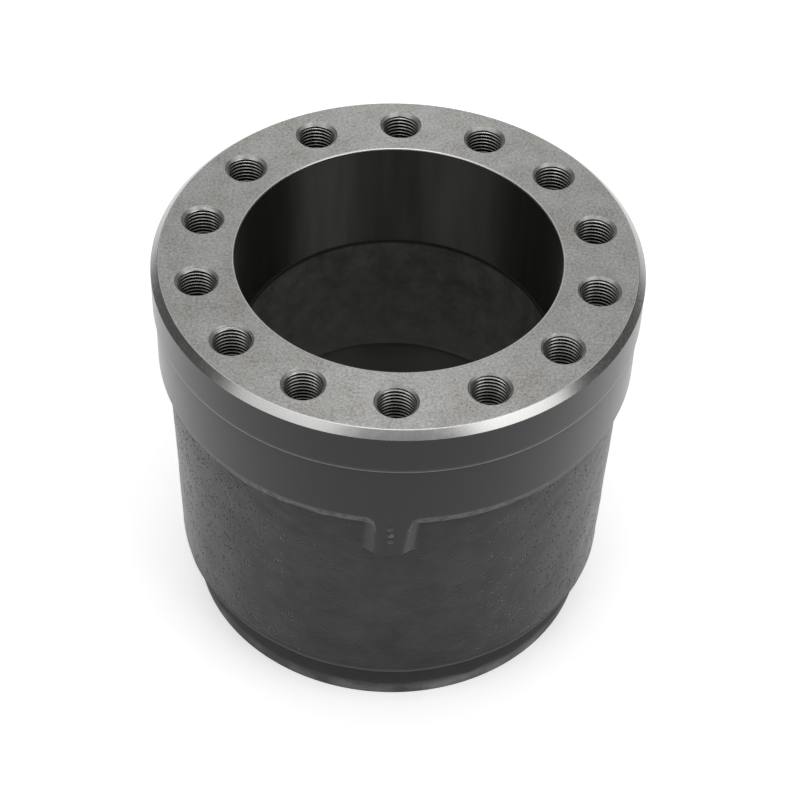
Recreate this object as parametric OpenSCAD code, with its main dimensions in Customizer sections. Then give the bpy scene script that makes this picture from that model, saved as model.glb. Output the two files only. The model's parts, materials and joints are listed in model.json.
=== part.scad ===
// Wheel hub of grey cast iron, turned and drilled on its working faces.
// The hub stands on its lower end, with the bolting flange on top and its
// axis along Z. The number pad on the cast barrel faces -Y.
// All sizes are in millimetres and degrees.

/* [Hub] */
// Overall height, from the lower end to the face of the flange
hub_h = 150; // [140:1:165]

/* [Flange] */
// Outside diameter of the turned flange
flange_d = 170; // [168:0.5:180]
// Height of the turned flange, from its face down to the small step
flange_h = 17.7; // [12:0.1:22]
// Rounding of the flange's lower edge, down to the small step
flange_edge_r = 3; // [0.5:0.1:3]
// Chamfer round the face of the flange, across and down
face_chamfer = 2.5; // [1:0.25:4]
// Height of the small step between the flange and the band
step_h = 0.9; // [0.5:0.1:3]

/* [Shoulder band] */
// Diameter of the smooth band below the flange
band_d = 168.2; // [166:0.1:169.4]
// Height of the band, from the small step to its lower edge
band_h = 26.3; // [22:0.1:32]
// Rounding of the band's lower edge
band_edge_r = 2.8; // [1:0.1:3]

/* [Cast barrel] */
// Diameter of the cast barrel right under the band
barrel_d = 161.6; // [160:0.1:163]
// Draft of the cast barrel, which narrows towards the lower end
barrel_draft = 1.4; // [0.5:0.1:1.6]
// Height of the corner where the barrel turns in to the collar
barrel_end_h = 18.7; // [17:0.1:22]
// Rounding of that corner
barrel_end_r = 8.5; // [4:0.25:9]
// Fillet between the band and the barrel
barrel_fillet_r = 0.5; // [0.3:0.1:2]

/* [End collar] */
// Diameter of the collar at the lower end
collar_d = 149; // [146:0.5:151]
// Height of the lead-in cone at the lower end
lead_in_h = 7; // [4:0.5:9]
// Width of the lead-in cone, measured along the radius
lead_in_w = 1; // [0.5:0.25:2]
// Fillet above the collar
collar_fillet_r = 3; // [1:0.25:4]

/* [Number pad] */
// Width of the pad's face at the band
pad_w = 11.3; // [9:0.1:14]
// Height of the pad below the band
pad_h = 15.7; // [10:0.1:20]
// Slope of the pad's sides, away from the radius through its middle
pad_side_slope = 50; // [20:1:55]
// Lean of the pad's right side, which narrows the face downwards
pad_lean = 8; // [0:0.5:14]
// Rounding of the pad's edges
pad_edge_r = 1.5; // [0.5:0.1:2]

/* [Upper bearing seat] */
// Bore of the upper bearing seat
upper_bore_d = 112.7; // [111:0.1:114]
// Depth of the upper seat, from the flange's face to its shoulder
upper_bore_depth = 43.5; // [35:0.5:50]
// Rounding at the mouth of the upper seat
upper_mouth_r = 0.7; // [0.3:0.1:1.5]

/* [Cavity] */
// Diameter of the cast cavity at its upper end, inside the upper seat's small shoulder
cavity_d = 111.5; // [109:0.1:111.9]
// Draft of the cast cavity, which narrows towards the lower end
cavity_draft = 1.3; // [0.5:0.1:2]

/* [Lower bearing seat] */
// Bore of the lower bearing seat
lower_bore_d = 112.7; // [111.6:0.1:114]
// Depth of the lower seat, from the lower end to its shoulder at the cavity's foot
lower_bore_depth = 54; // [40:0.5:60]
// Chamfer at the mouth of the lower seat
lower_mouth = 1.5; // [0.5:0.1:3]

/* [Tapped holes] */
// Number of tapped holes in the flange
hole_count = 14; // [8:1:16]
// Diameter of the circle that the holes lie on
hole_circle_d = 140; // [137:0.5:142]
// Tapping drill for the M14 x 1.5 thread
drill_d = 12.5; // [11:0.1:12.8]
// Depth of the drilled hole to the end of its straight wall
drill_depth = 36; // [25:1:45]
// Mouth of the countersink
countersink_d = 15.1; // [13:0.1:16]

/* [Hidden] */
$fn = 180;
// Turn between two points of a rounded edge
arc_step = 6;
// Point angle of a twist drill
drill_point_angle = 118;
// Countersinks and chamfers that are cut at 45 degrees run on past the face by this much
overrun = 1;
flange_z = hub_h - flange_h;
band_z = flange_z - band_h;
flange_r = flange_d / 2;
// The band stays inside the flange
band_r = min(band_d, flange_d - 0.4) / 2;
barrel_r = barrel_d / 2;
// Step from the barrel out to the band. The rounding of the band's edge and
// the fillet under it share its width.
band_step_w = band_r - barrel_r;
edge_share = 0.85;
edge_r = min(band_edge_r, edge_share * band_step_w);
fillet_r = min(barrel_fillet_r, (1 - edge_share) * band_step_w);
// The rounding of the flange's lower edge takes up most of the small step
step_w = flange_d / 2 - band_r;
step_slope = atan(step_w / step_h);
most_flange_edge_r = 0.98 * norm([step_w, step_h]) / tan(step_slope / 2);
lower_edge_r = min(flange_edge_r, most_flange_edge_r);
barrel_end_r_at = barrel_r - (band_z - barrel_end_h) * tan(barrel_draft);
collar_r = collar_d / 2;
shoulder_z = hub_h - upper_bore_depth;
cavity_foot_r = cavity_d / 2 - (shoulder_z - lower_bore_depth) * tan(cavity_draft);
// The turn from the barrel to the collar slopes at 45 degrees
collar_top_z = barrel_end_h - (barrel_end_r_at - collar_r);

// Points of the arc of radius r that rounds the corner b, whose sides run to a and c.
// They go from the side to a round to the side to c, a few degrees apart.
function corner_arc(a, b, c, r) =
    let (
        u = (a - b) / norm(a - b),
        v = (c - b) / norm(c - b),
        half_angle = acos(u * v) / 2,
        centre = b + (u + v) / norm(u + v) * r / sin(half_angle),
        start = b + u * r / tan(half_angle) - centre,
        turn = (180 - 2 * half_angle) * sign(cross(v, u)),
        steps = ceil(abs(turn) / arc_step)
    )
    [
        for (k = [0 : steps])
            let (t = turn * k / steps)
            centre + [
                start[0] * cos(t) - start[1] * sin(t),
                start[0] * sin(t) + start[1] * cos(t)
            ]
    ];

// Half section of the hub: X is the radius and Y the height.
module hub_section() {
    // Outside, from the lower end up
    lead_in_foot = [collar_r - lead_in_w, 0];
    collar_foot = [collar_r, lead_in_h];
    collar_top = [collar_r, collar_top_z];
    barrel_end = [barrel_end_r_at, barrel_end_h];
    barrel_top = [barrel_r, band_z];
    band_foot = [band_r, band_z];
    band_top = [band_r, flange_z - step_h];
    flange_foot = [flange_r, flange_z];
    flange_rim = [flange_r, hub_h - face_chamfer];
    face_edge = [flange_r - face_chamfer, hub_h];
    // Inside, from the flange's face down
    upper_mouth_corner = [upper_bore_d / 2, hub_h];
    upper_seat_foot = [upper_bore_d / 2, shoulder_z];
    cavity_top = [cavity_d / 2, shoulder_z];
    cavity_foot = [cavity_foot_r, lower_bore_depth];
    lower_seat_top = [lower_bore_d / 2, lower_bore_depth];
    lower_mouth_top = [lower_bore_d / 2, lower_mouth];
    lower_mouth_edge = [lower_bore_d / 2 + lower_mouth, 0];
    polygon([
        lead_in_foot,
        collar_foot,
        each corner_arc(collar_foot, collar_top, barrel_end, collar_fillet_r),
        each corner_arc(collar_top, barrel_end, barrel_top, barrel_end_r),
        each corner_arc(barrel_end, barrel_top, band_foot, fillet_r),
        each corner_arc(barrel_top, band_foot, band_top, edge_r),
        band_top,
        each corner_arc(band_top, flange_foot, flange_rim, lower_edge_r),
        flange_rim,
        face_edge,
        each corner_arc(face_edge, upper_mouth_corner, upper_seat_foot, upper_mouth_r),
        upper_seat_foot,
        cavity_top,
        cavity_foot,
        lower_seat_top,
        lower_mouth_top,
        lower_mouth_edge
    ]);
}

// One hole of the flange, turned from its half section: countersink,
// straight wall and drill point. It is drawn downwards from the face at z = 0.
module tapped_hole() {
    drill_r = drill_d / 2;
    countersink_r = countersink_d / 2;
    rotate_extrude($fn = 48)
        polygon([
            [0, overrun],
            [countersink_r + overrun, overrun],
            [drill_r, drill_r - countersink_r],
            [drill_r, -drill_depth],
            [0, -drill_depth - drill_r / tan(drill_point_angle / 2)]
        ]);
}

// Horizontal section of the pad with one sloping side, at X = 0, and the
// pad's body on the +X side of it. The face is towards -Y.
module pad_side_section(face_y, root_y, body_w) {
    face_corner = [0, -face_y];
    face_end = [body_w, -face_y];
    root_end = [body_w, -root_y];
    root_corner = [-(face_y - root_y) * tan(pad_side_slope), -root_y];
    polygon([
        each corner_arc(face_end, face_corner, root_corner, pad_edge_r),
        root_corner,
        root_end,
        face_end
    ]);
}

// Flat pad on the barrel for a stamped number, flush with the band. Its
// sides slope to the barrel and its lower edge is rounded.
module number_pad() {
    // The face is a little proud of the band here, and is cut to the band's cylinder below
    face_y = band_r + (band_r - sqrt(pow(band_r, 2) - pow(pad_w / 2, 2)));
    root_y = barrel_r - 4;
    pad_z = band_z - pad_h;
    top_z = band_z + edge_r + 2;
    block_h = top_z - pad_z + 10;
    foot_root = [-root_y, pad_z - 2];
    foot_face = [-face_y, pad_z];
    top_face = [-face_y, top_z];
    intersection() {
        translate([0, 0, pad_z - 10]) cylinder(d = band_d, h = block_h);
        // Left side, upright
        translate([-pad_w / 2, 0, pad_z - 5])
            linear_extrude(height = block_h)
                pad_side_section(face_y, root_y, 2 * pad_w);
        // Right side, leaning inwards towards its foot
        translate([pad_w / 2, 0, band_z])
            rotate([0, pad_lean, 0])
                translate([0, 0, -2 * pad_h])
                    mirror([1, 0, 0])
                        linear_extrude(height = 4 * pad_h)
                            pad_side_section(face_y, root_y, 2 * pad_w);
        // Underside and flat top, in side view
        rotate([90, 0, 90])
            linear_extrude(height = 4 * pad_w, center = true)
                polygon([
                    foot_root,
                    each corner_arc(foot_root, foot_face, top_face, pad_edge_r),
                    top_face,
                    [-root_y, top_z]
                ]);
    }
}

// The whole hub, one casting.
module hub() {
    color("dimgray")
        difference() {
            union() {
                rotate_extrude() hub_section();
                number_pad();
            }
            for (i = [0 : hole_count - 1])
                rotate([0, 0, i * 360 / hole_count])
                    translate([0, hole_circle_d / 2, hub_h])
                        tapped_hole();
        }
}

hub();
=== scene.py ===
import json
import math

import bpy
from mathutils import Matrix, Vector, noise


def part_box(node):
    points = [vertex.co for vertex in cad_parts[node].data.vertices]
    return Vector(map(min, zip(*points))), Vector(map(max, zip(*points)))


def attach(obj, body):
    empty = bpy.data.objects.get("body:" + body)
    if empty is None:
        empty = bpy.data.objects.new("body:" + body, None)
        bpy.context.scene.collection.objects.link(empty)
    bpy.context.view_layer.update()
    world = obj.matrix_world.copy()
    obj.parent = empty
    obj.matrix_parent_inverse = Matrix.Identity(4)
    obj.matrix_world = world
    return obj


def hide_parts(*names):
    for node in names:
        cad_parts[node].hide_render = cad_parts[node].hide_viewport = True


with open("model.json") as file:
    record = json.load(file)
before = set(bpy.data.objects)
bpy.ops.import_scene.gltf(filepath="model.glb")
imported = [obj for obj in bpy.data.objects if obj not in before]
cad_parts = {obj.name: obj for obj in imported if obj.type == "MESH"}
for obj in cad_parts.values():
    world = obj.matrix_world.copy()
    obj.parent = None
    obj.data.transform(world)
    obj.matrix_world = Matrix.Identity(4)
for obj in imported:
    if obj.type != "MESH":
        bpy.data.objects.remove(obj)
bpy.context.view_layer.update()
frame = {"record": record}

# Wheel hub of grey cast iron: one casting, turned on its flange, band, end and
# bearing seats, and tapped round its flange. It stands on its lower end, its
# axis is Z, and the number pad on its side faces -Y. Sizes are in millimetres
# until the mesh is made.

MM = 0.001

# Sizes that the frame gives
MOUNTS = {mount["name"]: mount for mount in frame["record"]["mounts"]}
HUB_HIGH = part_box("hub")[1]
HUB_H = HUB_HIGH.z / MM
FLANGE_R = min(HUB_HIGH.x, HUB_HIGH.y) / MM
UPPER_SEAT_R = MOUNTS["upper_bearing_seat"]["dims"]["r_mm"]
LOWER_SEAT_R = MOUNTS["lower_bearing_seat"]["dims"]["r_mm"]
HOLE_COUNT = MOUNTS["flange_bolts"]["dims"]["count"]
HOLE_CIRCLE_R = MOUNTS["flange_bolts"]["dims"]["pcd_mm"] / 2
DRILL_R = MOUNTS["flange_bolts"]["dims"]["hole_r_mm"]

# Flange and band
FLANGE_H = 17.7
FLANGE_EDGE_R = 3
FACE_CHAMFER = 2.5
FACE_EDGE_R = 0.5
STEP_H = 0.9
BAND_R = 84.1
BAND_H = 26.3
FLANGE_Z = HUB_H - FLANGE_H
BAND_Z = FLANGE_Z - BAND_H

# The band's lower edge slopes in over a short height and hangs a little low
BAND_EDGE_H = 3.7
BAND_EDGE_SLOPE = math.radians(15)
BAND_EDGE_R = 2.4
BAND_FOOT_R = 0.8
BAND_FOOT_Z = BAND_Z - 0.8

# Cast barrel
BARREL_R = 80.8
BARREL_DRAFT = math.radians(1.4)
BARREL_END_H = 18.7
BARREL_END_R = 8.5
BARREL_FILLET_R = 0.5

# Collar at the lower end, and the lead-in cone below it
COLLAR_R = 74.5
COLLAR_FILLET_R = 3
LEAD_IN_H = 7
LEAD_IN_W = 1

# Number pad, flush with the band. Its sides slope to the barrel, the right one leans inwards
# on the way down, and its foot falls by so much for each millimetre of height.
PAD_W = 11.3
PAD_H = 15.7
PAD_Z = BAND_Z - PAD_H
PAD_SIDE_SLOPE = math.radians(50)
PAD_LEAN = math.radians(8)
PAD_FOOT_SLOPE = 3.65

# Widths over which the pad's edges and the foot of its slopes are rounded
PAD_EDGE = 0.5
PAD_ROOT = 0.8

# The pad shapes the casting between these heights, and outside this radius
PAD_REACH_LOW = PAD_Z - 4
PAD_REACH_HIGH = BAND_Z + 9
PAD_REACH_R = BARREL_R - 2

# Rounding of the inner corners between the pad and the band's edge, and the heights
# between which it fades in from below and fades out again above
PAD_CORNER_R = 4.2
CORNER_FADE_IN = (BAND_Z - 13, BAND_Z - 1)
CORNER_FADE_OUT = (BAND_Z + 2.8, BAND_Z + 6.4)

# The pad's face, this close to the band's radius, is as smooth as the band
PAD_FACE_DEPTH = 0.15

# Low round pips in a column on the pad, and how deep their feet reach into it
PIP_COUNT = 3
PIP_R = 1.3
PIP_H = 0.6
PIP_X = -0.6
PIP_TOP_Z = BAND_Z - 2.7
PIP_PITCH = 3.1
PIP_ROOT = 0.3
PIP_SIDES = 20
PIP_RINGS = 4

# Bores and cavity
UPPER_MOUTH = 0.7
SHOULDER_Z = HUB_H - 43.5
CAVITY_R = 55.75
CAVITY_DRAFT = math.radians(1.3)
LOWER_SEAT_DEPTH = 54
LOWER_MOUTH = 1.5

# Tapped holes, M14 x 1.5, whose thread fades out over its lowest two turns
PITCH = 1.5
THREAD_R = 7
THREAD_TURNS = 15
THREAD_FADE_H = 2 * PITCH
THREAD_FADE_START = 0.2
THREAD_SIDES = 36
THREAD_INSET = 0.02
DRILL_DEPTH = 36
DRILL_POINT = math.radians(118)
DRILL_SIDES = 48
COUNTERSINK_R = 7.55

# How far the tools of the holes start above the face
OVERRUN = 1

# Unevenness, as (size across, height): the slow swells and the lumps of the sand casting,
# the ragged lower edge of the band, and the wandering border of the paint over the lead-in
SWELLS = (17, 0.22)
LUMPS = (5, 0.10)
RAGGED_EDGE = (3.5, 0.55)
PAINT_BORDER = (9, 1.2)

# The swells and lumps set in between these depths below the band's surface
CAST_ONSET = (0.2, 1.5)

# The ragged edge lies between these heights. The border of the paint is read round a circle
# of this radius, and fades out this far above and below it.
RAGGED_LOW_Z = BAND_Z - 2
RAGGED_HIGH_Z = BAND_Z + 2.2
PAINT_BORDER_R = 80
PAINT_BORDER_REACH = 3

# Fineness of the mesh, with ten columns to each half of the pad's face and 13 beyond it
ARC_STEP = math.radians(7.5)
PAD_COLUMN_STEP = PAD_W / 2 / 10 / BAND_R
PAD_SPAN = 23 * PAD_COLUMN_STEP
COLUMN_STEP = math.radians(1.5)
SHARP_ANGLE = math.radians(25)

# Largest spacing of the grid's rows on each kind of stretch
PAD_FOOT_ROWS = 0.35
EDGE_ROWS = 0.5
PAD_ROWS = 0.7
BAND_FOOT_ROWS = 1.2
LEAD_IN_ROWS = 1.4
BARREL_ROWS = 2.4
CAVITY_ROWS = 2.6
TURNED_ROWS = 4
SEAT_ROWS = 8
FLAT_ROWS = 30

# How far the close rows go past the pad's foot and above the band's edge
PAD_FOOT_MARGIN = 2
BAND_FOOT_MARGIN = 3.6

# Width of the strip beside a rounding that keeps a flat surface flat in its shading
HOLD = 1

# Shorter stretches of the section than this are left out
TINY = 1e-6

# Surfaces of the casting, in the order of its material slots
SURFACES = [
    "face", "chamfer", "band", "edge", "cast", "collar", "lead_in", "seat", "cavity", "thread"
]


def rounded(before, corner, after, radius):
    """Points of the rounding of a corner, from the side to before to the side to after."""
    u = (before - corner).normalized()
    v = (after - corner).normalized()
    half_angle = u.angle(v) / 2
    centre = corner + (u + v).normalized() * radius / math.sin(half_angle)
    start = corner + u * radius / math.tan(half_angle) - centre
    turn = math.copysign(math.pi - 2 * half_angle, v.x * u.y - v.y * u.x)
    steps = math.ceil(abs(turn) / ARC_STEP)
    points = []
    for k in range(steps + 1):
        angle = turn * k / steps
        x = start.x * math.cos(angle) - start.y * math.sin(angle)
        y = start.x * math.sin(angle) + start.y * math.cos(angle)
        points.append(centre + Vector((x, y)))
    return points


def barrel_point(z):
    """Point of the barrel's drafted wall at a height."""
    return Vector((BARREL_R - (BAND_Z - z) * math.tan(BARREL_DRAFT), z))


def cavity_point(z):
    """Point of the cavity's drafted wall at a height."""
    return Vector((CAVITY_R - (SHOULDER_Z - z) * math.tan(CAVITY_DRAFT), z))


def hub_outline():
    """Half section of the hub, as stretches of (surface, largest spacing, points).

    It goes up the outside, over the face, down the inside and back along the
    lower end. Each stretch starts where the one before it ends.
    """
    lead_in_foot = Vector((COLLAR_R - LEAD_IN_W, 0))
    collar_foot = Vector((COLLAR_R, LEAD_IN_H))
    barrel_end = barrel_point(BARREL_END_H)
    collar_top = Vector((COLLAR_R, BARREL_END_H - (barrel_end.x - COLLAR_R)))
    barrel_top = barrel_point(BAND_FOOT_Z)
    band_ease = Vector((BAND_R, BAND_FOOT_Z + BAND_EDGE_H))
    band_foot = Vector((BAND_R - BAND_EDGE_H * math.tan(BAND_EDGE_SLOPE), BAND_FOOT_Z))
    band_top = Vector((BAND_R, FLANGE_Z - STEP_H))
    flange_foot = Vector((FLANGE_R, FLANGE_Z))
    flange_rim = Vector((FLANGE_R, HUB_H - FACE_CHAMFER))
    face_edge = Vector((FLANGE_R - FACE_CHAMFER, HUB_H))
    upper_mouth_corner = Vector((UPPER_SEAT_R, HUB_H))
    upper_seat_foot = Vector((UPPER_SEAT_R, SHOULDER_Z))
    cavity_top = cavity_point(SHOULDER_Z)
    cavity_foot = cavity_point(LOWER_SEAT_DEPTH)
    lower_seat_top = Vector((LOWER_SEAT_R, LOWER_SEAT_DEPTH))
    lower_mouth_top = Vector((LOWER_SEAT_R, LOWER_MOUTH))
    lower_mouth_edge = Vector((LOWER_SEAT_R + LOWER_MOUTH, 0))

    collar_arc = rounded(collar_foot, collar_top, barrel_end, COLLAR_FILLET_R)
    barrel_arc = rounded(collar_top, barrel_end, barrel_top, BARREL_END_R)
    fillet_arc = rounded(barrel_end, barrel_top, band_foot, BARREL_FILLET_R)
    foot_arc = rounded(barrel_top, band_foot, band_ease, BAND_FOOT_R)
    edge_arc = [*foot_arc, *rounded(band_foot, band_ease, band_top, BAND_EDGE_R)]
    flange_arc = rounded(flange_rim, flange_foot, band_top, FLANGE_EDGE_R)
    face_arc = rounded(flange_rim, face_edge, upper_mouth_corner, FACE_EDGE_R)
    upper_mouth_arc = rounded(face_edge, upper_mouth_corner, upper_seat_foot, UPPER_MOUTH)
    pad_low = barrel_point(PAD_Z - PAD_FOOT_MARGIN)
    pad_foot = barrel_point(PAD_Z + PAD_FOOT_MARGIN)
    band_low = edge_arc[-1] + Vector((0, BAND_FOOT_MARGIN))
    rim_hold = flange_arc[0] + Vector((0, HOLD))
    face_out = face_arc[-1] - Vector((HOLD, 0))
    face_in = upper_mouth_arc[0] + Vector((HOLD, 0))
    seat_hold = upper_mouth_arc[-1] - Vector((0, HOLD))
    return [
        ("lead_in", LEAD_IN_ROWS, [lead_in_foot, collar_foot]),
        ("collar", BARREL_ROWS, [collar_foot, *collar_arc, *barrel_arc]),
        ("cast", BARREL_ROWS, [barrel_arc[-1], pad_low]),
        ("cast", PAD_FOOT_ROWS, [pad_low, pad_foot]),
        ("cast", PAD_ROWS, [pad_foot, fillet_arc[0]]),
        ("cast", EDGE_ROWS, fillet_arc),
        ("edge", EDGE_ROWS, [fillet_arc[-1], *edge_arc]),
        ("band", BAND_FOOT_ROWS, [edge_arc[-1], band_low]),
        ("band", TURNED_ROWS, [band_low, band_top]),
        ("band", TURNED_ROWS, [band_top, *reversed(flange_arc), rim_hold, flange_rim]),
        ("chamfer", TURNED_ROWS, [flange_rim, *face_arc]),
        ("face", FLAT_ROWS, [face_arc[-1], face_out, face_in, upper_mouth_arc[0]]),
        ("chamfer", TURNED_ROWS, upper_mouth_arc),
        ("seat", SEAT_ROWS, [upper_mouth_arc[-1], seat_hold, upper_seat_foot]),
        ("cavity", TURNED_ROWS, [upper_seat_foot, cavity_top]),
        ("cavity", CAVITY_ROWS, [cavity_top, cavity_foot]),
        ("cavity", TURNED_ROWS, [cavity_foot, lower_seat_top]),
        ("seat", SEAT_ROWS, [lower_seat_top, lower_mouth_top]),
        ("chamfer", TURNED_ROWS, [lower_mouth_top, lower_mouth_edge]),
        ("lead_in", FLAT_ROWS, [lower_mouth_edge, lead_in_foot]),
    ]


def hub_rows():
    """Rows of the casting's grid, as (point of the section, surface of the strip above it)."""
    rows = []
    for surface, spacing, points in hub_outline():
        for start, end in zip(points, points[1:]):
            length = (end - start).length
            if length < TINY:
                continue
            pieces = max(1, math.ceil(length / spacing - TINY))
            for k in range(pieces):
                rows.append((start.lerp(end, k / pieces), surface))
    return rows


def column_angles():
    """Angles of the grid's columns from -Y, up to half a turn either way.

    They are closer together over the number pad.
    """
    dense = round(2 * PAD_SPAN / PAD_COLUMN_STEP)
    sparse = round((2 * math.pi - 2 * PAD_SPAN) / COLUMN_STEP)
    over_pad = [-PAD_SPAN + k * 2 * PAD_SPAN / dense for k in range(dense)]
    around = [PAD_SPAN + k * (2 * math.pi - 2 * PAD_SPAN) / sparse for k in range(sparse)]
    return [a if a <= math.pi else a - 2 * math.pi for a in over_pad + around]


def smooth_max(a, b, width):
    """The larger of two values, with the corner where they meet rounded off."""
    share = max(width - abs(a - b), 0) / width
    return max(a, b) + share * share * width / 4


def smooth_step(value, low, high):
    """Goes from 0 at low to 1 at high, with no corner at either."""
    share = min(max((value - low) / (high - low), 0), 1)
    return share * share * (3 - 2 * share)


def pad_edge_x(z, side):
    """Distance of the pad's left or right edge from its middle. The right one leans inwards."""
    lean = max(BAND_Z - z, 0) * math.tan(PAD_LEAN) if side > 0 else 0
    return PAD_W / 2 - lean


def pad_radius(x, z):
    """Radius of the number pad's surface, x across it and at height z."""
    side = (abs(x) - pad_edge_x(z, x)) / math.tan(PAD_SIDE_SLOPE)
    foot = (PAD_Z - z) * PAD_FOOT_SLOPE
    return BAND_R - max(smooth_max(side, 0, PAD_EDGE), foot)


def lean_shift(x, z):
    """How far a column of the mesh moves sideways to follow the pad's leaning right edge."""
    lean = min(max(BAND_Z - z, 0), PAD_H) * math.tan(PAD_LEAN)
    half = PAD_W / 2
    reach = BAND_R * PAD_SPAN
    share = x / half if x < half else (reach - x) / (reach - half)
    return lean * min(max(share, 0), 1)


def corner_dip(x, z):
    """How far the band's lower edge dips beside the pad, which rounds their inner corner."""
    beside = abs(x) - pad_edge_x(z, x)
    across = min(max(beside, 0) / PAD_CORNER_R, 1)
    dip = PAD_CORNER_R * (1 - math.sqrt(1 - (1 - across) ** 2))
    above = 1 - smooth_step(z, *CORNER_FADE_OUT)
    below = smooth_step(z, *CORNER_FADE_IN)
    return dip * above * below


def cast_waviness(point, size, height):
    """Height at a point of an unevenness that is about size across."""
    return height * noise.noise(Vector(point) / size)


def casting_point(angle, row, surface):
    """Point of the casting's surface for a column and a row."""
    radius, z = row
    x = BAND_R * math.sin(angle)
    at_pad = PAD_REACH_LOW < z < PAD_REACH_HIGH and radius > PAD_REACH_R
    if at_pad and abs(angle) <= PAD_SPAN:
        x -= lean_shift(x, z)
        angle = math.asin(x / BAND_R)
        z -= corner_dip(x, z)
        radius = min(BAND_R, smooth_max(radius, pad_radius(x, z), PAD_ROOT))
    cored = surface == "cavity" and LOWER_SEAT_DEPTH + HOLD < z < SHOULDER_Z - HOLD
    if surface in ("cast", "edge", "collar") or cored:
        here = (radius * math.sin(angle), -radius * math.cos(angle), z)
        share = 1 if cored else smooth_step(BAND_R - radius, *CAST_ONSET)
        radius += share * cast_waviness(here, *SWELLS)
        radius += share * cast_waviness(here, *LUMPS)
        if not cored and RAGGED_LOW_Z < z < RAGGED_HIGH_Z:
            z += cast_waviness(here, *RAGGED_EDGE)
    # The border of the paint wanders, but not the lower end or what lies inside it
    if row.x > LOWER_SEAT_R + LOWER_MOUTH + HOLD and 0 < row.y < 2 * LEAD_IN_H:
        share = max(1 - abs(row.y - LEAD_IN_H) / PAINT_BORDER_REACH, 0)
        along = (PAINT_BORDER_R * math.sin(angle), PAINT_BORDER_R * math.cos(angle), 0)
        z += share * cast_waviness(along, *PAINT_BORDER)
    return (radius * math.sin(angle), -radius * math.cos(angle), z)


def new_mesh(name, points, faces, surfaces):
    """Mesh object in metres, with the casting's material slots and a surface for each face."""
    mesh = bpy.data.meshes.new(name)
    mesh.from_pydata([Vector(p) * MM for p in points], [], faces)
    for surface in SURFACES:
        mesh.materials.append(MATERIALS[surface])
    mesh.polygons.foreach_set("material_index", [SURFACES.index(s) for s in surfaces])
    mesh.update()
    piece = bpy.data.objects.new(name, mesh)
    bpy.context.scene.collection.objects.link(piece)
    return piece


def casting_grid():
    """The whole casting before drilling, as a closed grid of rows and columns."""
    rows = hub_rows()
    angles = column_angles()
    columns = len(angles)
    points = [
        casting_point(angle, point, surface)
        for point, surface in rows
        for angle in angles
    ]
    faces = []
    surfaces = []
    for j, (_, surface) in enumerate(rows):
        above = (j + 1) % len(rows)
        for i in range(columns):
            beside = (i + 1) % columns
            face = (
                j * columns + i,
                j * columns + beside,
                above * columns + beside,
                above * columns + i,
            )
            faces.append(face)
            inmost = min(math.hypot(*points[v][:2]) for v in face)
            on_band = surface in ("cast", "edge") and inmost > BAND_R - PAD_FACE_DEPTH
            surfaces.append("band" if on_band else surface)
    return new_mesh("hub_casting", points, faces, surfaces)


def drill_tool():
    """Points and faces of the drill and countersink together, drawn down from the face at z = 0."""
    sides = DRILL_SIDES
    section = [
        (COUNTERSINK_R + OVERRUN, OVERRUN),
        (DRILL_R, DRILL_R - COUNTERSINK_R),
        (DRILL_R, -DRILL_DEPTH),
    ]
    points = [(0, 0, OVERRUN)]
    for radius, z in section:
        for k in range(sides):
            angle = 2 * math.pi * k / sides
            points.append((radius * math.cos(angle), radius * math.sin(angle), z))
    points.append((0, 0, -DRILL_DEPTH - DRILL_R / math.tan(DRILL_POINT / 2)))
    last = len(points) - 1
    faces = []
    for k in range(sides):
        n = (k + 1) % sides
        faces.append((0, 1 + k, 1 + n))
        for ring in range(len(section) - 1):
            top = 1 + ring * sides
            faces.append((top + k, top + sides + k, top + sides + n, top + n))
        foot = 1 + (len(section) - 1) * sides
        faces.append((foot + k, last, foot + n))
    return points, faces


def tap_tool():
    """Points and faces of the tap: a right-handed helical ridge that fades out low down."""
    sides = THREAD_SIDES
    crest_w = PITCH / 4
    root_w = PITCH / 8
    flank_w = (PITCH - crest_w - root_w) / 2
    # A little inside the drill, so that the thread's crests are the drilled wall
    inner_r = DRILL_R - THREAD_INSET
    root_z = crest_w + flank_w
    turn = [(0, inner_r), (crest_w, inner_r), (root_z, THREAD_R), (root_z + root_w, THREAD_R)]
    low = -(THREAD_TURNS - 1) * PITCH
    rows = [(low + n * PITCH + z, radius) for n in range(THREAD_TURNS) for z, radius in turn]
    points = []
    for z, radius in rows:
        for k in range(sides):
            angle = 2 * math.pi * k / sides
            height = z + PITCH * k / sides
            fade = min(max((height - low) / THREAD_FADE_H - THREAD_FADE_START, 0), 1)
            r = inner_r + (radius - inner_r) * fade
            points.append((r * math.cos(angle), r * math.sin(angle), height))

    def at(row, k):
        """Point of a row and column, where a full turn leads to the row one pitch up."""
        return (row + len(turn)) * sides if k == sides else row * sides + k

    # The surface of the ridge, with a fan of faces over its lower and its upper end
    faces = []
    for row in range(len(rows) - len(turn) - 1):
        for k in range(sides):
            faces.append((at(row, k), at(row, k + 1), at(row + 1, k + 1), at(row + 1, k)))
    top_row = len(rows) - len(turn) - 1
    for row, outward in ((0, False), (top_row, True)):
        centre = len(points)
        points.append((0, 0, rows[row][0] + PITCH / 2))
        loop = [at(row, k) for k in range(sides)]
        loop += [at(row + n, 0) for n in range(len(turn), 0, -1)]
        for a, b in zip(loop, loop[1:] + loop[:1]):
            faces.append((centre, a, b) if outward else (centre, b, a))
    return points, faces


def hole_places():
    """Centres of the tapped holes in the face, each with its turn about the hub's axis."""
    for i in range(HOLE_COUNT):
        angle = 2 * math.pi * i / HOLE_COUNT
        yield angle, -HOLE_CIRCLE_R * math.sin(angle), HOLE_CIRCLE_R * math.cos(angle)


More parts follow.
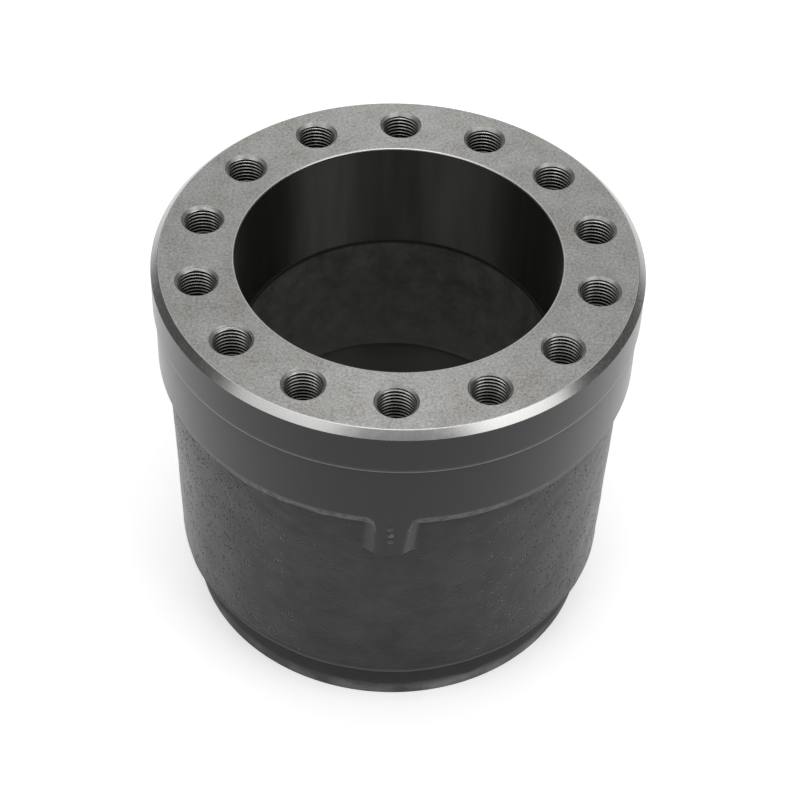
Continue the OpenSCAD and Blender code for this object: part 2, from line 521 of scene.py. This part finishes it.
def combine(casting, operation, name, points, faces, surface):
    """Adds a shape to the casting or cuts it out, and leaves nothing else behind."""
    other = new_mesh(name, points, faces, [surface] * len(faces))
    step = casting.modifiers.new(name, "BOOLEAN")
    step.operation = operation
    step.solver = "MANIFOLD"
    step.object = other
    evaluated = casting.evaluated_get(bpy.context.evaluated_depsgraph_get())
    mesh = bpy.data.meshes.new_from_object(evaluated)
    casting.modifiers.clear()
    old_mesh = casting.data
    casting.data = mesh
    bpy.data.meshes.remove(old_mesh)
    bpy.data.meshes.remove(other.data)
    mesh.name = "hub_casting"


def cut_holes(casting, tool, name):
    """Cuts one tool's shape out of the casting at every hole."""
    tool_points, tool_faces = tool
    points = []
    faces = []
    for angle, x, y in hole_places():
        first = len(points)
        turn_x, turn_y = math.cos(angle), math.sin(angle)
        points += [
            (x + px * turn_x - py * turn_y, y + px * turn_y + py * turn_x, HUB_H + pz)
            for px, py, pz in tool_points
        ]
        faces += [tuple(first + v for v in face) for face in tool_faces]
    combine(casting, "DIFFERENCE", name, points, faces, "thread")


def add_pips(casting):
    """Low round pips in a column on the number pad, cast with it."""
    sides = PIP_SIDES
    rings = PIP_RINGS
    points = []
    faces = []
    for n in range(PIP_COUNT):
        middle = PIP_TOP_Z - n * PIP_PITCH
        first = len(points)
        points.append((PIP_X, -BAND_R - PIP_H, middle))
        for ring in range(1, rings + 1):
            out = ring / rings
            # The last ring lies inside the casting
            depth = BAND_R - PIP_ROOT if ring == rings else BAND_R + PIP_H * (1 - out * out)
            for k in range(sides):
                turn = 2 * math.pi * k / sides
                across = PIP_R * out * math.cos(turn)
                up = PIP_R * out * math.sin(turn)
                points.append((PIP_X + across, -depth, middle + up))
        points.append((PIP_X, -BAND_R + PIP_ROOT, middle))
        last = len(points) - 1
        for k in range(sides):
            beside = (k + 1) % sides
            faces.append((first, first + 1 + k, first + 1 + beside))
            for ring in range(rings - 1):
                a = first + 1 + ring * sides
                faces.append((a + k, a + sides + k, a + sides + beside, a + beside))
            a = first + 1 + (rings - 1) * sides
            faces.append((a + k, last, a + beside))
    combine(casting, "UNION", "pips", points, faces, "edge")


def linear(hex_colour):
    """Turns an sRGB hex colour to linear red, green, blue and alpha."""
    channels = [int(hex_colour[i:i + 2], 16) / 255 for i in (1, 3, 5)]
    return [c / 12.92 if c <= 0.04045 else ((c + 0.055) / 1.055) ** 2.4 for c in channels] + [1]


def add_node(tree, kind, inputs=None, **settings):
    """Adds a shader node with its settings, and sets or links its inputs by name or number.

    A colour is given as an sRGB hex string.
    """
    node = tree.nodes.new("ShaderNode" + kind)
    for name, value in settings.items():
        setattr(node, name, value)
    for name, value in (inputs or {}).items():
        if isinstance(value, bpy.types.NodeSocket):
            tree.links.new(value, node.inputs[name])
        else:
            node.inputs[name].default_value = linear(value) if isinstance(value, str) else value
    return node


def calculate(tree, operation, *values):
    """The result of an operation on one or two values."""
    return add_node(tree, "Math", dict(enumerate(values)), operation=operation).outputs[0]


def map_range(tree, value, low, high, to_low=0, to_high=1, smooth=False):
    """Carries a value over from low and high to to_low and to_high, and holds it at both."""
    inputs = {0: value, "From Min": low, "From Max": high, "To Min": to_low, "To Max": to_high}
    kind = "SMOOTHSTEP" if smooth else "LINEAR"
    return add_node(tree, "MapRange", inputs, interpolation_type=kind).outputs[0]


def mix_values(tree, share, first, second):
    """Goes from the first value to the second as the share goes from 0 to 1."""
    return add_node(tree, "Mix", {0: share, 2: first, 3: second}).outputs[0]


def mix_colours(tree, share, first, second, **settings):
    """Goes from the first colour to the second as the share goes from 0 to 1."""
    inputs = {0: share, 6: first, 7: second}
    return add_node(tree, "Mix", inputs, data_type="RGBA", **settings).outputs[2]


def noise_at(tree, place, size, detail, roughness=0.5):
    """An uneven pattern from 0 to 1, about size across, with so many finer layers on it."""
    inputs = {"Vector": place, "Scale": 1 / size, "Detail": detail, "Roughness": roughness}
    return add_node(tree, "TexNoise", inputs).outputs[0]


def clear_tree(owner):
    """The emptied node tree of a material or of the world."""
    owner.use_nodes = True
    owner.node_tree.nodes.clear()
    return owner.node_tree


def start_material(name, **inputs):
    """A new material, its node tree, its shader and the place on the object in millimetres.

    The scale of a pattern is then one over its size in millimetres.
    """
    material = bpy.data.materials.new(name)
    tree = clear_tree(material)
    shader = add_node(tree, "BsdfPrincipled", inputs)
    add_node(tree, "OutputMaterial", {"Surface": shader.outputs[0]})
    coordinates = add_node(tree, "TexCoord")
    place = add_node(
        tree, "VectorMath", {0: coordinates.outputs["Object"], "Scale": 1 / MM}, operation="SCALE"
    )
    return material, tree, shader, place.outputs[0]


# Middle of the patch of the barrel, at its left under the band, where most pits are
PIT_PATCH = (-72, -40, 85)

# Middle of the patch of the lead-in, right of the front, where it is painted palest
PALE_PATCH = (33, -66, 4)

# Haze of the dark primer, which brightens it where it is seen edge on: on the turned band,
# on the cast barrel and, where it is thinner, on the collar
COAT_SHEEN = 0.9
CAST_SHEEN = 0.8
COLLAR_SHEEN = 0.2
COAT_SHEEN_ROUGHNESS = 0.35

# Turns the stretch of the metal's highlights across the marks that a lathe leaves
QUARTER_TURN = 0.25

# Heights between which the painted shade along the small shoulder in the bore sets in
SHADE_LOW_Z = SHOULDER_Z - 1.8
SHADE_HIGH_Z = SHOULDER_Z - 0.6


def add_haze(shader, level):
    """Gives a shader the haze of the primer."""
    shader.inputs["Sheen Weight"].default_value = level
    shader.inputs["Sheen Roughness"].default_value = COAT_SHEEN_ROUGHNESS


def brush_around(tree, shader):
    """Lays the highlights of a turned metal across the marks that run round the hub's axis."""
    shader.inputs["Anisotropic Rotation"].default_value = QUARTER_TURN
    around = add_node(tree, "Tangent", direction_type="RADIAL", axis="Z")
    tree.links.new(around.outputs[0], shader.inputs["Tangent"])


def turned_face_iron():
    """Grey iron, faced in a lathe and left bare.

    A pale satin metal, speckled by graphite, with faint stains.
    """
    material, tree, shader, place = start_material(
        "turned_grey_iron_face", Metallic=1, Roughness=0.42, Anisotropic=0.65
    )
    brush_around(tree, shader)
    # Specks are about 0.2 mm on the real face and are drawn at 1 mm, as small as the render shows
    specks = noise_at(tree, place, 1, 4, 0.85)
    stains = noise_at(tree, place, 11, 4, 0.6)
    speck_tone = map_range(tree, specks, 0.32, 0.62)
    stain_tone = map_range(tree, stains, 0.35, 0.7)
    speckled = mix_colours(tree, speck_tone, "#8c8c8a", "#c4c4c2")
    # Open graphite pores, thicker in some places than in others
    cells = add_node(tree, "TexVoronoi", {"Vector": place, "Scale": 1})
    pore_size = map_range(tree, stains, 0.3, 0.7, 0.08, 0.27)
    pore = calculate(tree, "LESS_THAN", cells.outputs["Distance"], pore_size)
    pored = mix_colours(tree, pore, speckled, "#868684")
    stained = mix_colours(tree, stain_tone, "#ffffff", "#ebe9e6")
    colour = mix_colours(tree, 1, pored, stained, blend_type="MULTIPLY")
    bump = add_node(tree, "Bump", {"Height": specks, "Strength": 0.35, "Distance": 0.1 * MM})
    tree.links.new(colour, shader.inputs["Base Color"])
    tree.links.new(bump.outputs[0], shader.inputs["Normal"])
    return material


def turned_chamfer_iron():
    """Grey iron, chamfered in a lathe: the brightest metal of the hub, with a slight mottle."""
    material, tree, shader, place = start_material("turned_grey_iron_chamfer", Metallic=1)
    mottle = noise_at(tree, place, 2.2, 4, 0.6)
    colour = mix_colours(tree, mottle, "#b8b8b6", "#cccbc9")
    roughness = map_range(tree, mottle, 0.3, 0.7, 0.24, 0.28)
    tree.links.new(colour, shader.inputs["Base Color"])
    tree.links.new(roughness, shader.inputs["Roughness"])
    return material


def coated_turned_iron():
    """Grey iron, turned smooth and dipped in a thin dark primer.

    Even and satin, and bright only where it is seen edge on.
    """
    material, tree, shader, place = start_material("primed_turned_iron", Roughness=0.34, IOR=1.37)
    add_haze(shader, COAT_SHEEN)
    clouds = noise_at(tree, place, 20, 3)
    colour = mix_colours(tree, clouds, "#101010", "#161616")
    tree.links.new(colour, shader.inputs["Base Color"])
    return material


def coated_edge_iron():
    """Grey iron at the band's lower edge, under the dark primer and painted paler.

    The paler mottle is a painted highlight, standing in for the floor's reflection along that edge.
    The pips carry the same painted highlight.
    """
    material, tree, shader, place = start_material("primed_edge_thin", Roughness=0.5, IOR=1.4)
    mottle = noise_at(tree, place, 2.5, 4, 0.65)
    painted_light_mottle = map_range(tree, mottle, 0.35, 0.65)
    # Painted highlight: the edge is painted paler in a mottle
    colour = mix_colours(tree, painted_light_mottle, "#444444", "#707070")
    tree.links.new(colour, shader.inputs["Base Color"])
    return material


def coated_cast_iron():
    """Grey iron as sand cast, under the same dark primer: grainy, with small open pits."""
    material, tree, shader, place = start_material("primed_sand_cast_iron", IOR=1.32)
    add_haze(shader, CAST_SHEEN)
    # Sand grains are about 0.3 mm on the real casting. They are drawn 0.7 mm high, as small as
    # the render shows, and longer round the barrel.
    flattened = add_node(tree, "VectorMath", {0: place, 1: (0.4, 0.4, 1)}, operation="MULTIPLY")
    grain = noise_at(tree, flattened.outputs[0], 0.7, 3, 0.65)
    lumps = noise_at(tree, place, 5, 3)
    # Pits are up to 0.9 mm wide, at most one in each cell of 1.2 mm, and lie in clusters. A
    # cell's own chance decides whether it has one, against the share of cells that do here.
    cells = add_node(tree, "TexVoronoi", {"Vector": place, "Scale": 1 / 1.2})
    chance = add_node(tree, "SeparateColor", {0: cells.outputs["Color"]})
    thinned = noise_at(tree, place, 6, 3)
    patchy = map_range(tree, thinned, 0.38, 0.62, -0.4, 0.45)
    # They are rare in front and crowd at both sides, most of all at the left under the band
    axes = add_node(tree, "SeparateXYZ", {0: place})
    sideways = calculate(tree, "ABSOLUTE", axes.outputs["X"])
    at_sides = map_range(tree, sideways, 5, 55, -0.15, 0.5)
    from_patch = add_node(tree, "VectorMath", {0: place, 1: PIT_PATCH}, operation="DISTANCE")
    in_patch = map_range(tree, from_patch.outputs[1], 15, 50, 0.2, 0)
    more = calculate(tree, "ADD", at_sides, in_patch)
    share = calculate(tree, "ADD", patchy, more)
    spare = calculate(tree, "SUBTRACT", share, chance.outputs[0])
    pit_size = map_range(tree, spare, 0, 0.3, 0.001, 0.4)
    depth = calculate(tree, "DIVIDE", cells.outputs["Distance"], pit_size)
    pit = map_range(tree, depth, 0.4, 1, 1, 0, smooth=True)
    clouds = noise_at(tree, place, 12, 5, 0.65)
    cloud_tone = map_range(tree, clouds, 0.4, 0.65)
    grained = mix_colours(tree, grain, "#121212", "#303030")
    colour = mix_colours(tree, cloud_tone, grained, "#363636")
    # Painted shade: the pits are painted near black
    pit_shaded = mix_colours(tree, pit, colour, "#020202")
    # Pits are dull and painted near black as painted shade in them, and the grain between them is
    # satin
    grain_roughness = map_range(tree, grain, 0.3, 0.7, 0.38, 0.55)
    roughness = mix_values(tree, pit, grain_roughness, 1)
    lump_bump = add_node(tree, "Bump", {"Height": lumps, "Strength": 0.25, "Distance": 0.5 * MM})
    grain_bump = add_node(
        tree,
        "Bump",
        {
            "Height": grain,
            "Strength": 0.55,
            "Distance": 0.2 * MM,
            "Normal": lump_bump.outputs[0],
        },
    )
    # The primer fills the pits in front
    open_pits = map_range(tree, sideways, 25, 50, 0.2, 1)
    pit_bump = add_node(
        tree,
        "Bump",
        {
            "Height": pit,
            "Strength": open_pits,
            "Distance": 0.8 * MM,
            "Normal": grain_bump.outputs[0],
        },
        invert=True,
    )
    tree.links.new(pit_shaded, shader.inputs["Base Color"])
    tree.links.new(roughness, shader.inputs["Roughness"])
    tree.links.new(pit_bump.outputs[0], shader.inputs["Normal"])
    return material


def coated_collar_iron():
    """Grey iron at the collar and the barrel's rounded end: the same primer with less haze."""
    material, tree, shader, place = start_material("primed_collar", Roughness=0.5, IOR=1.25)
    add_haze(shader, COLLAR_SHEEN)
    clouds = noise_at(tree, place, 12, 5, 0.65)
    colour = mix_colours(tree, clouds, "#323232", "#464646")
    tree.links.new(colour, shader.inputs["Base Color"])
    return material


def coated_lead_in_iron():
    """Grey iron, turned at the lower end and thinly primed, painted a shade paler than the collar:
    a painted reflection of the white floor that it faces.
    """
    material, tree, shader, place = start_material("primed_turned_lead_in", Roughness=0.4, IOR=1.4)
    mottle = noise_at(tree, place, 14, 5, 0.6)
    from_patch = add_node(tree, "VectorMath", {0: place, 1: PALE_PATCH}, operation="DISTANCE")
    in_patch = map_range(tree, from_patch.outputs[1], 10, 28, 0.16, 0)
    mottle_and_patch = calculate(tree, "ADD", mottle, in_patch)
    painted_light_mottle = map_range(tree, mottle_and_patch, 0.4, 0.7)
    # Painted reflection of the floor: the lead-in's pale tone, mottled and palest in its patch
    tone = mix_colours(tree, painted_light_mottle, "#525252", "#909090")
    # The lead-in darkens softly towards the collar
    axes = add_node(tree, "SeparateXYZ", {0: place})
    below = map_range(tree, axes.outputs["Z"], LEAD_IN_H - 3.5, LEAD_IN_H + 0.5, 1, 0)
    colour = mix_colours(tree, below, "#3a3a3a", tone)
    tree.links.new(colour, shader.inputs["Base Color"])
    return material


def bored_seat_iron():
    """Grey iron, bored in a lathe and oiled.

    Dark metal whose fine turning marks draw the light out upright.
    """
    material, tree, shader, place = start_material(
        "bored_oiled_iron", Metallic=1, Roughness=0.37, Anisotropic=1.0
    )
    brush_around(tree, shader)
    stretched = add_node(tree, "VectorMath", {0: place, 1: (1, 1, 0.12)}, operation="MULTIPLY")
    streaks = noise_at(tree, stretched.outputs[0], 6, 3)
    colour = mix_colours(tree, streaks, "#545452", "#757571")
    # The lower seat is painted paler, as a painted reflection of the white floor below it
    axes = add_node(tree, "SeparateXYZ", {0: place})
    upper = map_range(tree, axes.outputs["Z"], LOWER_SEAT_DEPTH, SHOULDER_Z)
    streaked_and_floor_lit = mix_colours(tree, upper, "#6e6e6b", colour)
    tree.links.new(streaked_and_floor_lit, shader.inputs["Base Color"])
    return material


def cast_cavity_iron():
    """Grey iron as cored: dull and mottled, with the core sand's grain."""
    material, tree, shader, place = start_material("cored_cast_iron", Roughness=0.6, IOR=1.5)
    mottle = noise_at(tree, place, 9, 6, 0.75)
    tone = map_range(tree, mottle, 0.35, 0.65)
    mottled = mix_colours(tree, tone, "#40403e", "#605f5b")
    # The cavity is paler low down
    axes = add_node(tree, "SeparateXYZ", {0: place})
    low = map_range(tree, axes.outputs["Z"], LOWER_SEAT_DEPTH, SHOULDER_Z - 10, 0.45, 0)
    paler = mix_colours(tree, low, mottled, "#7c7b76")
    # Painted shade lies along the small shoulder at the foot of the upper seat
    shoulder_shade = map_range(tree, axes.outputs["Z"], SHADE_LOW_Z, SHADE_HIGH_Z, 0, 0.9)
    colour = mix_colours(tree, shoulder_shade, paler, "#080808")
    bump = add_node(tree, "Bump", {"Height": mottle, "Strength": 0.6, "Distance": 0.8 * MM})
    tree.links.new(colour, shader.inputs["Base Color"])
    tree.links.new(bump.outputs[0], shader.inputs["Normal"])
    return material


def cut_thread_iron():
    """Grey iron, drilled and tapped.

    Bare metal with bright crests and countersinks, and painted shade in its roots and low down in
    the holes.
    """
    material, tree, shader, place = start_material("tapped_grey_iron", Metallic=1)
    mottle = noise_at(tree, place, 1.5, 3)
    metal = mix_colours(tree, mottle, "#8c8c89", "#d0d0cc")
    # Distance from the axis of the nearest hole, by the law of cosines
    axes = add_node(tree, "SeparateXYZ", {0: place})
    turn = calculate(tree, "ARCTAN2", axes.outputs["X"], axes.outputs["Y"])
    off_turn = calculate(tree, "PINGPONG", turn, math.pi / HOLE_COUNT)
    off_cos = calculate(tree, "COSINE", off_turn)
    flat = add_node(tree, "VectorMath", {0: place, 1: (1, 1, 0)}, operation="MULTIPLY")
    reach = add_node(tree, "VectorMath", {0: flat.outputs[0]}, operation="LENGTH")
    reach_squared = calculate(tree, "POWER", reach.outputs[1], 2)
    both_squared = calculate(tree, "ADD", reach_squared, HOLE_CIRCLE_R**2)
    product = calculate(tree, "MULTIPLY", reach.outputs[1], off_cos)
    minus = calculate(tree, "MULTIPLY", product, -2 * HOLE_CIRCLE_R)
    squared = calculate(tree, "ADD", both_squared, minus)
    local_r = calculate(tree, "SQRT", squared)
    to_root = map_range(tree, local_r, DRILL_R + THREAD_INSET, DRILL_R + 0.5, smooth=True)
    # 1 in the thread, and 0 in the countersink above it
    below_mouth = map_range(tree, axes.outputs["Z"], HUB_H - 1.2, HUB_H - 0.9, 1, 0)
    # Painted shade in the thread's roots
    root_shade = calculate(tree, "MULTIPLY", to_root, below_mouth)
    # Painted shade: the thread darkens from 2 mm down to 10 mm down and stays dark below that, and
    # its roots are painted dark below the countersink
    depth_light = map_range(tree, axes.outputs["Z"], HUB_H - 10, HUB_H - 2, 0.2, 1)
    depth_shaded = mix_colours(tree, depth_light, "#1c1c1b", metal)
    colour = mix_colours(tree, root_shade, depth_shaded, "#1c1c1b")
    # The countersinks are cut less smoothly than the threads
    roughness = mix_values(tree, below_mouth, 0.5, 0.26)
    tree.links.new(colour, shader.inputs["Base Color"])
    tree.links.new(roughness, shader.inputs["Roughness"])
    return material


def hub_casting():
    """The hub as one closed piece in the CAD model's place."""
    casting = casting_grid()
    add_pips(casting)
    cut_holes(casting, drill_tool(), "drill")
    cut_holes(casting, tap_tool(), "tap")
    mesh = casting.data
    mesh.polygons.foreach_set("use_smooth", [True] * len(mesh.polygons))
    mesh.set_sharp_from_angle(angle=SHARP_ANGLE)
    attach(casting, "root")
    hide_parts("hub")


# The floor's half width in metres, and the share of its white that is its own glow
FLOOR_REACH = 6
FLOOR_GLOW = 0.5

# Levels of the studio at both sides and overhead, where 1 is white
SIDES_LEVEL = 0.09
OVERHEAD_LEVEL = 1.0

# Distance of the lamps from the flange's face, in metres
LAMP_DISTANCE = 1.3


def floor():
    """A wide white floor.

    Part of its white is its own glow towards the eye and in reflections, so that it stays
    white there while it keeps the hub's shadow.
    """
    around = ((-1, -1), (1, -1), (1, 1), (-1, 1))
    corners = [(FLOOR_REACH * x, FLOOR_REACH * y, 0) for x, y in around]
    mesh = bpy.data.meshes.new("floor")
    mesh.from_pydata(corners, [], [(0, 1, 2, 3)])
    plane = bpy.data.objects.new("floor", mesh)
    bpy.context.scene.collection.objects.link(plane)
    material = bpy.data.materials.new("white_studio_floor")
    tree = clear_tree(material)
    rays = add_node(tree, "LightPath")
    # In reflections the floor carries painted shade: it is dimmer close round the hub, where little
    # light reaches it, and dark under it. The distances are in metres.
    coordinates = add_node(tree, "TexCoord")
    out = add_node(tree, "VectorMath", {0: coordinates.outputs["Object"]}, operation="LENGTH")
    near = map_range(tree, out.outputs[1], 0.09, 0.165, 0.45, 1)
    under = map_range(tree, out.outputs[1], 0.06, 0.075, 0.3, 1)
    painted_shade = calculate(tree, "MULTIPLY", near, under)
    glossy = calculate(tree, "MULTIPLY", rays.outputs["Is Glossy Ray"], painted_shade)
    seen = calculate(tree, "MAXIMUM", rays.outputs["Is Camera Ray"], glossy)
    paint_level = mix_values(tree, rays.outputs["Is Glossy Ray"], 1, painted_shade)
    paint = add_node(
        tree, "VectorMath", {0: linear("#ececec")[:3], "Scale": paint_level}, operation="SCALE"
    )
    seen_through = calculate(tree, "MAXIMUM", seen, rays.outputs["Is Transmission Ray"])
    glow_strength = calculate(tree, "MULTIPLY", seen_through, FLOOR_GLOW)
    diffuse = add_node(tree, "BsdfDiffuse", {"Color": paint.outputs[0]})
    glow = add_node(tree, "Emission", {"Strength": glow_strength})
    both = add_node(tree, "AddShader", {0: diffuse.outputs[0], 1: glow.outputs[0]})
    add_node(tree, "OutputMaterial", {"Surface": both.outputs[0]})
    mesh.materials.append(material)


def surround():
    """The studio round the hub.

    It is pale overhead and behind, dimmer towards the camera and dark low down at both sides.
    """
    world = bpy.data.worlds.new("studio")
    bpy.context.scene.world = world
    tree = clear_tree(world)
    coordinates = add_node(tree, "TexCoord")
    direction = add_node(tree, "SeparateXYZ", {0: coordinates.outputs["Generated"]})
    behind = map_range(tree, direction.outputs["Y"], -0.7, 0.5, 0.2, 0.75, smooth=True)
    overhead = map_range(tree, direction.outputs["Z"], 0.6, 1.0, smooth=True)
    sideways = calculate(tree, "ABSOLUTE", direction.outputs["X"])
    at_sides = map_range(tree, sideways, 0.3, 0.7, smooth=True)
    with_sides = mix_values(tree, at_sides, behind, SIDES_LEVEL)
    level = mix_values(tree, overhead, with_sides, OVERHEAD_LEVEL)
    background = add_node(tree, "Background", {"Color": (1, 1, 1, 1), "Strength": level})
    add_node(tree, "OutputWorld", {"Surface": background.outputs[0]})


def soft_lamp(name, turn, elevation, size, radiance):
    """A square soft lamp that faces the hub.

    It stands turned from -Y towards +X by an angle, at an elevation, both in degrees. Its
    size is in metres, and its radiance is what a mirror would show.
    """
    turn = math.radians(turn)
    elevation = math.radians(elevation)
    light = bpy.data.lights.new(name, "AREA")
    light.shape = "SQUARE"
    light.size = size
    light.energy = radiance * math.pi * size * size
    lamp = bpy.data.objects.new(name, light)
    bpy.context.scene.collection.objects.link(lamp)
    towards = Vector(
        (
            math.cos(elevation) * math.sin(turn),
            -math.cos(elevation) * math.cos(turn),
            math.sin(elevation),
        )
    )
    lamp.location = Vector((0, 0, HUB_H * MM)) + towards * LAMP_DISTANCE
    lamp.rotation_euler = towards.to_track_quat("Z", "Y").to_euler()


# The camera, as the photograph's perspective gives it. It turns about the centre of the
# flange's face, from which its distance is in metres.
CAMERA_DISTANCE = 0.79331
CAMERA_TURN = math.radians(0.7955)
CAMERA_ELEVATION = math.radians(42.3125)
CAMERA_YAW = math.radians(0.1561)
CAMERA_PITCH = math.radians(-3.5951)
CAMERA_ROLL = math.radians(2.188)
CAMERA_LENS_MM = 103.956
SENSOR_MM = 36


def photo_camera():
    """The camera at the photograph's place, aimed past the hub's centre and a little rolled."""
    place = CAMERA_DISTANCE * Vector(
        (
            -math.cos(CAMERA_ELEVATION) * math.sin(CAMERA_TURN),
            -math.cos(CAMERA_ELEVATION) * math.cos(CAMERA_TURN),
            math.sin(CAMERA_ELEVATION),
        )
    )
    up = Vector((0, 0, 1))
    ahead = -place.normalized()
    right = ahead.cross(up).normalized()
    over = right.cross(ahead)
    aim = (
        ahead * math.cos(CAMERA_YAW) * math.cos(CAMERA_PITCH)
        + right * math.sin(CAMERA_YAW) * math.cos(CAMERA_PITCH)
        + over * math.sin(CAMERA_PITCH)
    ).normalized()
    level_right = aim.cross(up).normalized()
    level_over = level_right.cross(aim)
    rolled_right = level_right * math.cos(CAMERA_ROLL) + level_over * math.sin(CAMERA_ROLL)
    rolled_over = level_over * math.cos(CAMERA_ROLL) - level_right * math.sin(CAMERA_ROLL)
    data = bpy.data.cameras.new("camera")
    data.lens = CAMERA_LENS_MM
    data.sensor_width = SENSOR_MM
    data.clip_start = 0.01
    data.clip_end = 50
    camera = bpy.data.objects.new("camera", data)
    bpy.context.scene.collection.objects.link(camera)
    turned = camera.matrix_world.to_3x3()
    turned.col[0] = rolled_right
    turned.col[1] = rolled_over
    turned.col[2] = -aim
    camera.matrix_world = turned.to_4x4()
    camera.location = place + Vector((0, 0, HUB_H * MM))
    bpy.context.scene.camera = camera


photo_camera()
MATERIALS = {
    "face": turned_face_iron(),
    "chamfer": turned_chamfer_iron(),
    "band": coated_turned_iron(),
    "edge": coated_edge_iron(),
    "cast": coated_cast_iron(),
    "collar": coated_collar_iron(),
    "lead_in": coated_lead_in_iron(),
    "seat": bored_seat_iron(),
    "cavity": cast_cavity_iron(),
    "thread": cut_thread_iron(),
}
hub_casting()
floor()
surround()
soft_lamp("lamp_right", turn=56, elevation=42, size=0.82, radiance=1.72)
soft_lamp("lamp_left", turn=-50, elevation=45, size=0.95, radiance=1.0)
soft_lamp("lamp_above", turn=0, elevation=88, size=0.5, radiance=2.5)
bpy.context.scene.view_settings.view_transform = "Standard"
